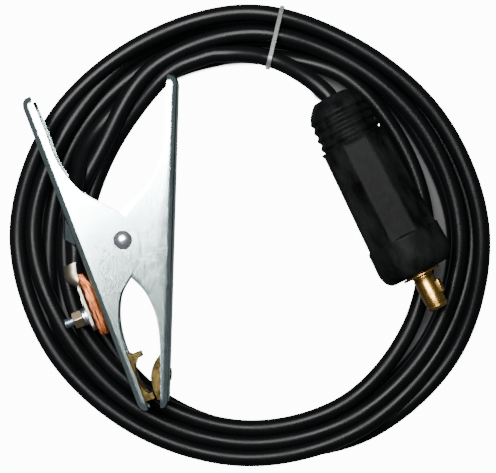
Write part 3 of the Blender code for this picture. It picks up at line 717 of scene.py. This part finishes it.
def channel_profile(jaw, x, hood):
    """The channel's outer skin at x as (v, z), from one flange's edge round to the other's."""
    lift = 0.55 * end_curl(x)
    half = jaw.half_width - 0.7 * end_curl(x)
    edge = jaw.edge_at(x)
    bend = min(BEND, edge - lift - 0.5)
    start = lift + bend
    flange = [(edge + (start - edge) * k / 5, half) for k in range(5)]
    arc = [(start - bend * sin(t), half - bend + bend * cos(t))
           for t in (pi / 2 * k / 8 for k in range(9))]
    flat = half - bend
    web = [(lift, flat * (1 - 2 * k / 20)) for k in range(1, 20)]
    if hood:
        web = [(v - hood_height(x, z), z) for v, z in web]
    left = flange + arc
    return left + web + [(v, -z) for v, z in reversed(left)]


def channel(name, jaw, hood):
    """A jaw's folded channel, still without its holes."""
    near_end = [END_RADIUS * (1 - cos(pi / 2 * k / 10)) for k in range(10)]
    straight = NOSE_END - HANDLE_END - 2 * END_RADIUS
    inner = [HANDLE_END + END_RADIUS + straight * k / 104 for k in range(105)]
    stations = [HANDLE_END + e for e in near_end] + inner + [NOSE_END - e for e in reversed(near_end)]
    rows = [[(x, jaw.y(v), z) for v, z in channel_profile(jaw, x, hood)] for x in stations]
    bm = skin(rows if jaw.side > 0 else [row[::-1] for row in rows], wrap=False)
    obj = mesh_object(name, bm, jaw.matrix)
    thicken(obj, SHEET)
    return obj


def web_cutter(jaw, x, radius, v=1):
    """A drill through the jaw's web, or through what lies at v outside it."""
    bm = bmesh.new()
    bmesh.ops.create_cone(bm, cap_ends=True, segments=48, radius1=radius, radius2=radius, depth=12)
    return mesh_object("web_hole", bm, jaw.across(x, v))


def make_jaws():
    drill = turned([(0, 25), (PIVOT_HOLE, 25), (PIVOT_HOLE, -25), (0, -25)], 48)
    pivot_hole = mesh_object("pivot_hole", drill, CABLE_JAW.matrix)
    second_hole = pivot_hole.copy()
    second_hole.data = pivot_hole.data.copy()
    bpy.context.scene.collection.objects.link(second_hole)
    start, end, half = WINDOW
    window_box = box_bmesh((start, CABLE_JAW.y(-12), -half), (end, CABLE_JAW.y(4), half))
    upright = [e for e in window_box.edges if abs(e.verts[0].co.y - e.verts[1].co.y) > 8]
    bmesh.ops.bevel(window_box, geom=upright, offset=3.0, segments=8, profile=0.5, affect="EDGES")
    window = mesh_object("window", window_box, CABLE_JAW.matrix)
    fixed = channel("cable_jaw_shell", CABLE_JAW, True)
    carve(fixed, [pivot_hole, window, web_cutter(CABLE_JAW, BOLT_X, BOLT_HOLE),
                  web_cutter(CABLE_JAW, SHOE_RIVET_X, RIVET_HOLE)], JAW_BEVEL)
    finish_piece(fixed, zinc_sheet("cable_jaw_zinc"), ROOT, ("cable_jaw",))
    swing = channel("moving_jaw_shell", MOVING_JAW, False)
    carve(swing, [second_hole, web_cutter(MOVING_JAW, SHOE_RIVET_X, RIVET_HOLE)], JAW_BEVEL)
    finish_piece(swing, zinc_sheet("moving_jaw_zinc"), SWING, ("moving_jaw",))


# ---------------------------------------------------------------- pivot and spring

def make_pivot():
    half = CABLE_JAW.half_width + GAP
    cap = [radians(50) * k / 14 for k in range(15)]
    dome = [(PIVOT_DOME * sin(t), half + PIVOT_DOME_RISE - PIVOT_DOME * (1 - cos(t))) for t in cap]
    upper = dome + [(5.6, half), (3.0, half)]
    rivet = mesh_object("pivot_rivet_polished", turned(upper + [(r, -h) for r, h in upper[::-1]], 72),
                        Matrix.Translation(PIVOT))
    finish_piece(rivet, bright_steel("rivet_metal", (0.62, 0.63, 0.65), 0.16), ROOT,
                 ("pivot_rivet",))
    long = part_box("pivot_bush")[1][2] / MM
    bush = mesh_object("pivot_bush_turned", turned([(4.2, long), (4.6, long - 0.4),
                                                    (4.6, 0.4 - long), (4.2, -long),
                                                    (PIVOT_HOLE, -long), (PIVOT_HOLE, long)], 48),
                       Matrix.Translation(PIVOT))
    finish_piece(bush, bright_steel("bush_metal", (0.6, 0.61, 0.62), 0.3), ROOT,
                 ("pivot_bush",))


def tangent_angle(point, turn):
    """Angle of the spring's coil where a straight leg from the point touches it."""
    return atan2(point.y, point.x) + turn * acos(SPRING_RADIUS / hypot(point.x, point.y))


def make_spring():
    """The torsion spring: its coils wound between the two jaws' legs, as they stand at rest."""
    inside = SHEET + SPRING_WIRE / 2 + GAP
    first_leg = CABLE_JAW.world(-SPRING_LEG, inside, SPRING_HALF_LENGTH) - PIVOT
    last_leg = MOVING_JAW.world(-SPRING_LEG, inside, -SPRING_HALF_LENGTH) - PIVOT
    start = tangent_angle(first_leg, 1)
    wound = (tangent_angle(last_leg, -1) - start) % tau + tau * SPRING_TURNS
    count = round(wound / tau * 48)
    coil = [Vector((SPRING_RADIUS * cos(start + wound * k / count),
                    SPRING_RADIUS * sin(start + wound * k / count),
                    SPRING_HALF_LENGTH * (1 - 2 * k / count))) for k in range(count + 1)]
    points = [first_leg.lerp(coil[0], k / 20) for k in range(20)] + coil
    points += [coil[-1].lerp(last_leg, (k + 1) / 20) for k in range(20)]
    spring = tube_mesh("torsion_spring_wire", [PIVOT + p for p in points], SPRING_WIRE / 2, 16)
    spring.data.materials.append(bright_steel("spring_metal", (0.42, 0.42, 0.43), 0.3))
    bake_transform(spring)
    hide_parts("torsion_spring")


# ---------------------------------------------------------------- shoes

def soften_node(name, mat, bevel):
    """Gives a CAD node a fine material and rounded edges."""
    node = frame["nodes"][name]
    node.data.materials.clear()
    node.data.materials.append(mat)
    weld = node.modifiers.new("weld", "WELD")
    weld.merge_threshold = 0.00001
    round_edges(node, bevel, 32)


def rivet_profile(neck, top):
    """A shoe rivet from its inner head, above the web, to the low head outside it."""
    inner = [(0, top), (3.0, top), (3.4, top - 0.4), (3.4, neck), (2.2, neck)]
    if top == neck:
        inner = [(0, top), (2.2, top)]
    return inner + [(2.2, -GAP), (3.9, -GAP), (3.85, -0.6), (3.4, -0.85), (2.6, -1.0), (1.4, -1.1),
                    (0, -1.12)]


def make_shoes():
    soften_node("toothed_shoe", yellow_zinc("toothed_shoe_zinc"), 0.25)
    soften_node("domed_shoe", yellow_zinc("domed_shoe_zinc", 1.0), 0.3)
    for name, jaw, body, neck, top in (("toothed_shoe_rivet", CABLE_JAW, ROOT, 4.2, 5.6),
                                       ("domed_shoe_rivet", MOVING_JAW, SWING, 6.0, 6.0)):
        inward = [(r, -h) for r, h in rivet_profile(neck, top)]
        rivet = mesh_object(name + "_turned", turned(inward, 48), jaw.across(SHOE_RIVET_X))
        finish_piece(rivet, yellow_zinc(name + "_zinc"), body, (name,))


# ---------------------------------------------------------------- cable fixing

def threaded_rod(radius, pitch, depth, low, high):
    """A rod about z with a helical thread; its ends are plain cones."""
    around = 48
    count = round((high - low) / pitch * 8)
    rings = []
    for k in range(count + 1):
        z = low + (high - low) * k / count
        ring = []
        for j in range(around):
            phase = (z / pitch - j / around) % 1.0
            cut_in = depth * abs(2 * phase - 1)
            taper = max(0.0, 0.9 - (z - low), 0.3 - (high - z))
            size = min(radius - cut_in, radius - taper)
            ring.append((size * cos(tau * j / around), size * sin(tau * j / around), z))
        rings.append(ring)
    return skin(rings)


def hexagon_bmesh(across_flats, low, high, bore=0.0):
    """A hexagonal nut or head along z, with its corners turned off at both ends."""
    around = 96
    radius = across_flats / 2
    corner = radius / cos(pi / 6)
    levels = [(low, 0.93), (low + 0.35, 0.965), (low + 0.8, 1), (high - 0.8, 1), (high - 0.35, 0.965),
              (high, 0.93)]
    rings = []
    for z, limit in levels:
        ring = []
        for j in range(around):
            t = tau * j / around
            off = (t + pi / 6) % (pi / 3) - pi / 6
            size = min(radius / cos(off), corner * limit)
            ring.append((size * cos(t), size * sin(t), z))
        rings.append(ring)
    if not bore:
        return skin(rings)
    inner = [[(bore * cos(tau * j / around), bore * sin(tau * j / around), z) for j in range(around)]
             for z in (high, low)]
    return skin(rings + inner, loop=True)


def make_fixing():
    out = CABLE_JAW.across(BOLT_X)
    steel = bright_steel("fastener_metal", (0.36, 0.4, 0.45), 0.24)
    rod = threaded_rod(BOLT_RADIUS, THREAD_PITCH, THREAD_DEPTH, SHEET, -STUD_END_V)
    stud = mesh_object("lug_bolt_thread", rod, out)
    finish_piece(stud, steel, ROOT, ("lug_bolt",))
    inside = -SHEET - GAP
    head = mesh_object("lug_bolt_head", hexagon_bmesh(NUT_ACROSS_FLATS, inside - HEAD_HEIGHT, inside),
                       out)
    finish_piece(head, steel, ROOT)
    low, high = PLAIN_WASHER_SPAN
    ring = turned([(6.3, high - 0.1), (6.2, high), (BOLT_HOLE, high), (BOLT_HOLE, low), (6.2, low),
                   (6.3, low + 0.1)], 64)
    washer = mesh_object("plain_washer_turned", ring, out)
    finish_piece(washer, steel, ROOT, ("plain_washer",))
    finish_piece(split_washer(out), steel, ROOT, ("spring_washer",))
    nut = mesh_object("lug_nut_hex", hexagon_bmesh(NUT_ACROSS_FLATS, *NUT_SPAN, BOLT_RADIUS), out)
    warm = bright_steel("nut_metal", (0.2, 0.155, 0.1), 0.3)
    finish_piece(nut, warm, ROOT, ("lug_nut",))


def split_washer(out):
    """A spring washer: a square-section ring, cut once, its ends a little apart in height."""
    rings = []
    for k in range(61):
        t = tau * (k + 0.5) / 62
        rise = SPRING_WASHER_START + 0.4 * k / 60
        rings.append([(r * cos(t), r * sin(t), z) for r, z in ((3.4, rise), (5.2, rise),
                                                               (5.2, rise + 1.0), (3.4, rise + 1.0))])
    return mesh_object("spring_washer_split", skin(rings), out)


def conductor_section(x):
    """Centre height, half height and half width of the bare strands at x."""
    stations = [(7, -7.0, 3.7, 3.7), (10.8, -6.7, 3.7, 3.8), (14, -5.3, 3.5, 4.8),
                (16.5, -4.2, 3.2, 5.8), (20, -3.6, 2.9, 7.0), (27, -3.6, 2.9, 7.8),
                (42, -3.6, 2.9, 7.8), (46, -3.6, 2.8, 7.5), (48.5, -3.6, 2.4, 7.0)]
    for a, b in zip(stations, stations[1:]):
        if x <= b[0]:
            t = smooth_step(a[0], b[0], x)
            return [p + (q - p) * t for p, q in zip(a[1:], b[1:])]
    return stations[-1][1:]


def make_conductor():
    """The bare cable end: twisted copper strands that fan out under the strap."""
    rng = Random(5)
    strands = bpy.data.curves.new("copper_strands", "CURVE")
    strands.dimensions = "3D"
    strands.bevel_depth = STRAND_RADIUS * MM
    strands.bevel_resolution = 2
    strands.use_fill_caps = True
    for layer, count in ((1.0, 37), (0.74, 28), (0.45, 14)):
        for k in range(count):
            turn = tau * k / count + rng.uniform(-0.04, 0.04)
            end = STRAND_END + rng.uniform(-1.6, 1.2)
            points = []
            for j in range(STRAND_POINTS):
                x = STRAND_START + (end - STRAND_START) * j / (STRAND_POINTS - 1)
                centre, high, wide = conductor_section(x)
                twist = turn + 0.9 * smooth_step(5, 30, x)
                power = 1.0 - 0.38 * smooth_step(13, 20, x)
                c, s = cos(twist), sin(twist)
                up = layer * (high - 0.4) * abs(s) ** power * (1 if s >= 0 else -1)
                across = layer * (wide - 0.4) * abs(c) ** power * (1 if c >= 0 else -1)
                wobble = 0.12 * sin(0.5 * x + 3 * k)
                points.append(CABLE_JAW.world(x, centre + up + wobble, across))
            add_spline(strands, points)
    obj = bpy.data.objects.new("copper_strands", strands)
    bpy.context.scene.collection.objects.link(obj)
    finish_piece(obj, copper_strand("strand_copper"), ROOT, ("conductor_end",))
    # Under the strands lies a dark copper core: painted shade deep inside the fanned bundle.
    rings = []
    for k in range(40):
        x = 8 + 39 * k / 39
        centre, high, wide = conductor_section(x)
        rings.append([(x, CABLE_JAW.y(centre + 0.82 * high * sin(tau * j / 24)),
                       0.86 * wide * cos(tau * j / 24)) for j in range(24)])
    core = mesh_object("copper_core", skin(rings), CABLE_JAW.matrix)
    finish_piece(core, copper_strand("core_copper_painted_shade", True), ROOT)


def strap_round(x):
    """How much narrower the strap's tongue is at x, for its rounded end."""
    depth = max(x - STRAP_ROUND_START, 0.0)
    return STRAP_ROUND - sqrt(max(STRAP_ROUND ** 2 - depth ** 2, 0.0))


def make_strap():
    """The pressed strap: a saddle over the cable that runs into a flat tongue under the nut."""
    saddle = CABLE_RADIUS + 0.5 + STRAP_SHEET
    stations = [2 + 38 * k / 60 for k in range(61)] + [40 + 4.5 * sin(pi / 2 * k / 14)
                                                        for k in range(1, 15)]
    rows = []
    for x in stations:
        blend = smooth_step(9.5, 19.0, x)
        centre = SADDLE_V + 0.3 * max(8 - x, 0)
        half = STRAP_HALF_WIDTH - strap_round(x)
        row = []
        for k in range(33):
            t = -1 + 2 * k / 32
            arch = Vector((centre - saddle * cos(t * radians(100)), saddle * sin(t * radians(100))))
            point = arch.lerp(Vector((STRAP_V, half * t)), blend)
            row.append((x, CABLE_JAW.y(point.x), point.y))
        rows.append(row)
    strap = mesh_object("cable_bracket_strap", skin([row[::-1] for row in rows], wrap=False),
                        CABLE_JAW.matrix)
    thicken(strap, STRAP_SHEET)
    carve(strap, [web_cutter(CABLE_JAW, BOLT_X, BOLT_HOLE, -11)], 0.25)
    finish_piece(strap, bright_steel("bracket_metal", (0.2, 0.175, 0.13), 0.3), ROOT,
                 ("cable_bracket",))


# ---------------------------------------------------------------- plug

def sleeve_radius(h):
    """Round size of the rubber sleeve at a height h: boot, ribs, grip, then the rounded collar."""
    if h < BOOT_ROUND:
        return 11 + 6.6 * sin(pi / 2 * h / BOOT_ROUND)
    if h < RIB_END:
        along = h - BOOT_ROUND
        return 17.6 + 0.06 * along + RIB_DEPTH * cos(tau * along / RIB_PITCH)
    if h < COLLAR_ROUND:
        return 20.6 + 2.8 * (h - RIB_END) / (COLLAR_ROUND - RIB_END)
    return 23.4 - 6.4 * (1 - sqrt(max(1 - ((h - COLLAR_ROUND) / 10) ** 2, 0.0)))


def sleeve_section(h):
    """The sleeve's outline: round at the boot and the collar, an octagon along the grip."""
    radius = sleeve_radius(h)
    flat = smooth_step(29.5, 31.5, h) * (1 - smooth_step(93.6, 94.8, h))
    ring = []
    for k in range(SLEEVE_SIDES):
        t = tau * (k + 0.5) / SLEEVE_SIDES
        off = (t + pi / 8) % (pi / 4) - pi / 8
        facet = min(radius, radius * FACET / cos(off))
        size = radius + (facet - radius) * flat
        ring.append((size * cos(t), size * sin(t), h))
    return ring


def make_plug():
    """The sleeve, the pin and its lug; the parts inside keep their CAD shapes."""
    place = plug_matrix()
    heights = [0, 0.4, 1.2, 2.5, 4, 5.5, 7, 8.5]
    heights += [BOOT_ROUND + 0.47 * k for k in range(42)]
    heights += [30.2, 31, 31.6] + [33 + 3 * k for k in range(20)]
    heights += [91.5, 93, 93.7, 94.1, 94.5, 94.9, 96, 100, 104, COLLAR_ROUND]
    heights += [COLLAR_ROUND + 10 * sin(pi / 2 * k / 10) for k in range(1, 10)]
    heights += [SLEEVE_LENGTH - 0.05]
    outer = [sleeve_section(h) for h in heights]
    bore = [(9.8, SLEEVE_LENGTH), (9.8, 57.7), (7.0, 57.7), (7.0, 42), (5.65, 40), (5.65, 0)]
    angles = [tau * (k + 0.5) / SLEEVE_SIDES for k in range(SLEEVE_SIDES)]
    inner = [[(r * cos(t), r * sin(t), h) for t in angles] for r, h in bore]
    sleeve = mesh_object("plug_sleeve_moulded", skin(outer + inner, loop=True), place, 55)
    finish_piece(sleeve, moulded_rubber("sleeve_rubber"), ROOT, ("plug_sleeve",))
    contact = turned([(0, PLUG_LENGTH), (4.6, PLUG_LENGTH), (5.6, PLUG_LENGTH - 0.5),
                      (PIN_RADIUS, PLUG_LENGTH - 1.6), (PIN_RADIUS, 139), (6.1, 138.6), (6.1, 137.8),
                      (PIN_RADIUS, 137.4), (PIN_RADIUS, 122), (6.1, 121.4), (6.1, 120.4), (6.8, 119.9),
                      (11.3, 119.8), (11.6, 119.5), (11.6, 118.6), (11.3, 118.3), (9.5, 118.3),
                      (9.5, 58), (5.6, 58), (5.6, 86), (0, 86)], 96)
    pin = mesh_object("plug_contact_turned", contact, place)
    finish_piece(pin, machined_brass("contact_metal"), ROOT, ("plug_pin",))
    lug_shape = box_bmesh((3.0, -2.4, 126), (8.4, 2.4, 134))
    bmesh.ops.bevel(lug_shape, geom=lug_shape.edges[:], offset=0.5, segments=3, profile=0.5,
                    affect="EDGES")
    lug = mesh_object("plug_bayonet_lug", lug_shape, place @ Matrix.Rotation(radians(25), 4, "Z"))
    finish_piece(lug, machined_brass("lug_metal"), ROOT)
    # The plug's strands take the dark copper: painted shade inside the ferrule.
    screw = ((0.2, 0.2, 0.21), 0.35)
    for name, look in (("plug_set_screw_1", bright_steel("screw_metal_1", *screw)),
                       ("plug_set_screw_2", bright_steel("screw_metal_2", *screw)),
                       ("plug_ferrule", copper_strand("ferrule_metal")),
                       ("plug_strands", copper_strand("plug_strand_painted_shade", True)),
                       ("plug_locking_pin", bright_steel("locking_metal", (0.4, 0.4, 0.4), 0.3))):
        soften_node(name, look, 0.1)
    return [sleeve, pin, lug]


# ---------------------------------------------------------------- tie

def make_tie(route):
    """A thin nylon band, pulled tight round the turns where they cross its plane."""
    place, lean = radians(TIE_ANGLE), radians(TIE_ANGLE + TIE_LEAN)
    middle = COIL_CENTRE + TIE_RADIUS * Vector((cos(place), sin(place), 0))
    out = Vector((cos(lean), sin(lean), 0))
    along = Vector((-sin(lean), cos(lean), 0))
    strands = []
    for a, b in zip(route, route[1:]):
        near, far = (a - middle).dot(along), (b - middle).dot(along)
        if near * far <= 0 and near != far:
            crossing = a.lerp(b, near / (near - far))
            across = (crossing - middle).dot(out)
            if abs(across) < TIE_REACH:
                strands.append((across, crossing.z))
    rings = []
    inner = CABLE_RADIUS + GAP
    outer = inner + TIE_THICKNESS
    for k in range(TIE_STEPS):
        turn = tau * (k + 0.5) / TIE_STEPS
        across, height = max(strands, key=lambda p: p[0] * cos(turn) + p[1] * sin(turn))
        ring = []
        for side, size in ((-1, inner), (1, inner), (1, outer), (-1, outer)):
            spot = middle + out * (across + size * cos(turn)) + along * (side * TIE_WIDTH / 2)
            ring.append((spot.x, spot.y, height + size * sin(turn)))
        rings.append(ring)
    band = mesh_object("coil_tie_band", skin(rings, loop=True))
    round_edges(band, 0.25, 30)
    return finish_piece(band, clear_nylon("tie_nylon"), ROOT, ("coil_tie",))


# ---------------------------------------------------------------- the object

make_camera()
make_stage()
cable, route = make_cable()
make_jaws()
make_pivot()
make_spring()
make_shoes()
make_fixing()
make_conductor()
make_strap()
plug_pieces = make_plug()
tie = make_tie(route)
